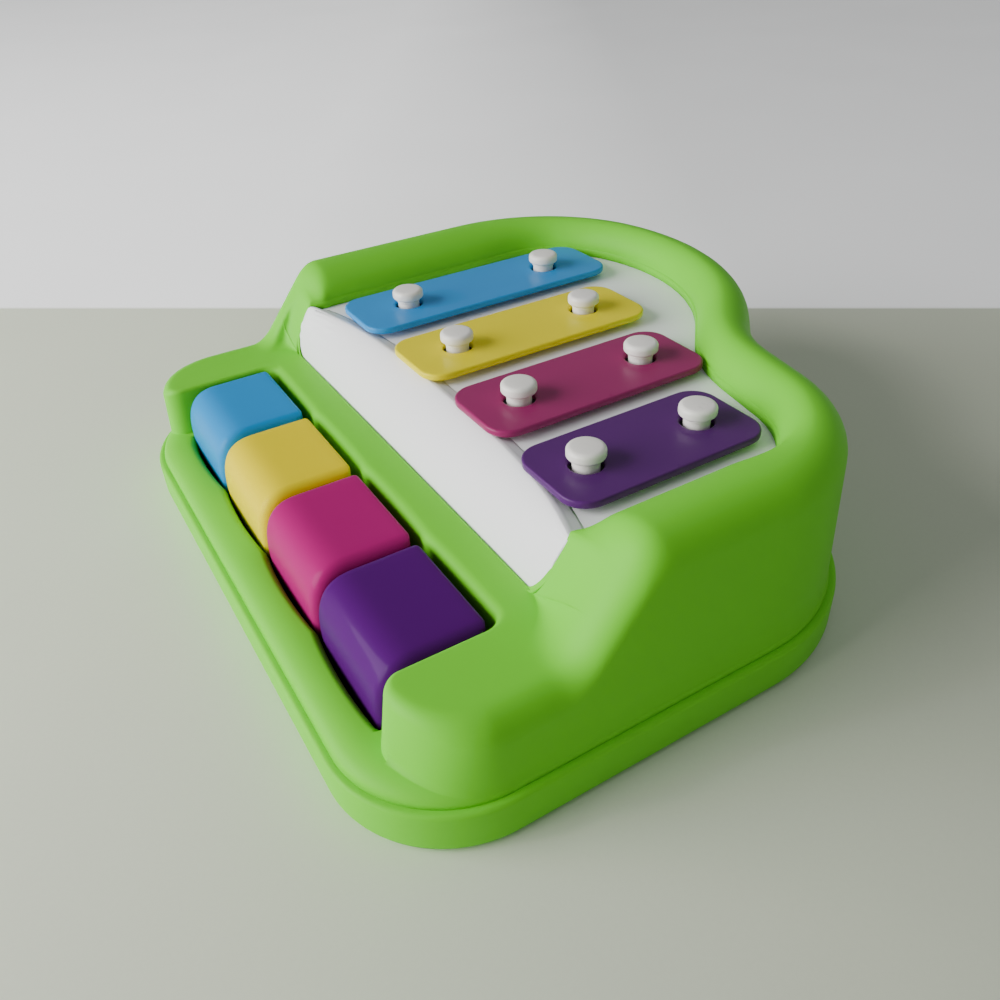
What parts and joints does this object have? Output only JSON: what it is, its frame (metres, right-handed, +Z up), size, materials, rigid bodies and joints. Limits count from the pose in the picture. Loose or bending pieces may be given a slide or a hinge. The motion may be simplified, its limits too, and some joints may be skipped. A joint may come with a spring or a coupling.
{
  "type": "toy piano",
  "caption": "Toy piano shaped like a small grand: sprung coloured keys at the front swing hammers up to flat sound bars, held by white posts on a raised board inside a round green rim.",
  "frame": {"origin": "centre of the footprint's bounding box, on the plane that the piano stands on", "axes": "+X to the player's right along the keys, +Y from the keys to the back, +Z up"},
  "size_m": [0.22, 0.2058, 0.0617],
  "materials": {
    "green": "moulded, soft gloss",
    "white": "moulded, soft gloss",
    "post_white": "moulded, soft gloss, warm white",
    "key_blue": "moulded, glossy",
    "key_yellow": "moulded, glossy",
    "key_pink": "moulded, glossy",
    "key_purple": "moulded, glossy",
    "bar_blue": "paint, satin gloss",
    "bar_yellow": "paint, satin gloss",
    "bar_pink": "paint, satin gloss",
    "bar_purple": "paint, satin gloss",
    "hammer": "moulded, soft gloss",
    "steel": "bright drawn wire and rod",
    "screw_steel": "zinc plated",
    "felt": "pressed felt"
  },
  "bodies": {
    "case": {"casing": "green", "tray": "green", "soundboard": "white", "axle_rod": "steel", "axle_clips": "steel", "spring_blue": "steel", "spring_yellow": "steel", "spring_pink": "steel", "spring_purple": "steel", "bar_blue": "bar_blue", "bar_yellow": "bar_yellow", "bar_pink": "bar_pink", "bar_purple": "bar_purple", "post_blue_front": "post_white", "post_blue_back": "post_white", "post_yellow_front": "post_white", "post_yellow_back": "post_white", "post_pink_front": "post_white", "post_pink_back": "post_white", "post_purple_front": "post_white", "post_purple_back": "post_white", "felt_washers": "felt", "rest_felt": "felt", "landing_felt": "felt", "casing_screws": "screw_steel", "soundboard_screws": "screw_steel"},
    "blue_key": {"key_blue": "key_blue", "hammer_blue": "hammer"},
    "yellow_key": {"key_yellow": "key_yellow", "hammer_yellow": "hammer"},
    "pink_key": {"key_pink": "key_pink", "hammer_pink": "hammer"},
    "purple_key": {"key_purple": "key_purple", "hammer_purple": "hammer"}
  },
  "joints": [
    {"name": "blue_key_turn", "type": "hinge", "parent": "case", "child": "blue_key", "pos_m": [-0.06, -0.03891, 0.016], "axis": [1, 0, 0], "range_deg": [0, 6.5], "stiffness_Nm_per_rad": 0.15, "springref_deg": -5.73, "deforming": ["spring_blue"]},
    {"name": "yellow_key_turn", "type": "hinge", "parent": "case", "child": "yellow_key", "pos_m": [-0.02, -0.03891, 0.016], "axis": [1, 0, 0], "range_deg": [0, 6.5], "stiffness_Nm_per_rad": 0.15, "springref_deg": -5.73, "deforming": ["spring_yellow"]},
    {"name": "pink_key_turn", "type": "hinge", "parent": "case", "child": "pink_key", "pos_m": [0.02, -0.03891, 0.016], "axis": [1, 0, 0], "range_deg": [0, 6.5], "stiffness_Nm_per_rad": 0.15, "springref_deg": -5.73, "deforming": ["spring_pink"]},
    {"name": "purple_key_turn", "type": "hinge", "parent": "case", "child": "purple_key", "pos_m": [0.06, -0.03891, 0.016], "axis": [1, 0, 0], "range_deg": [0, 6.5], "stiffness_Nm_per_rad": 0.15, "springref_deg": -5.73, "deforming": ["spring_purple"]}
  ]
}
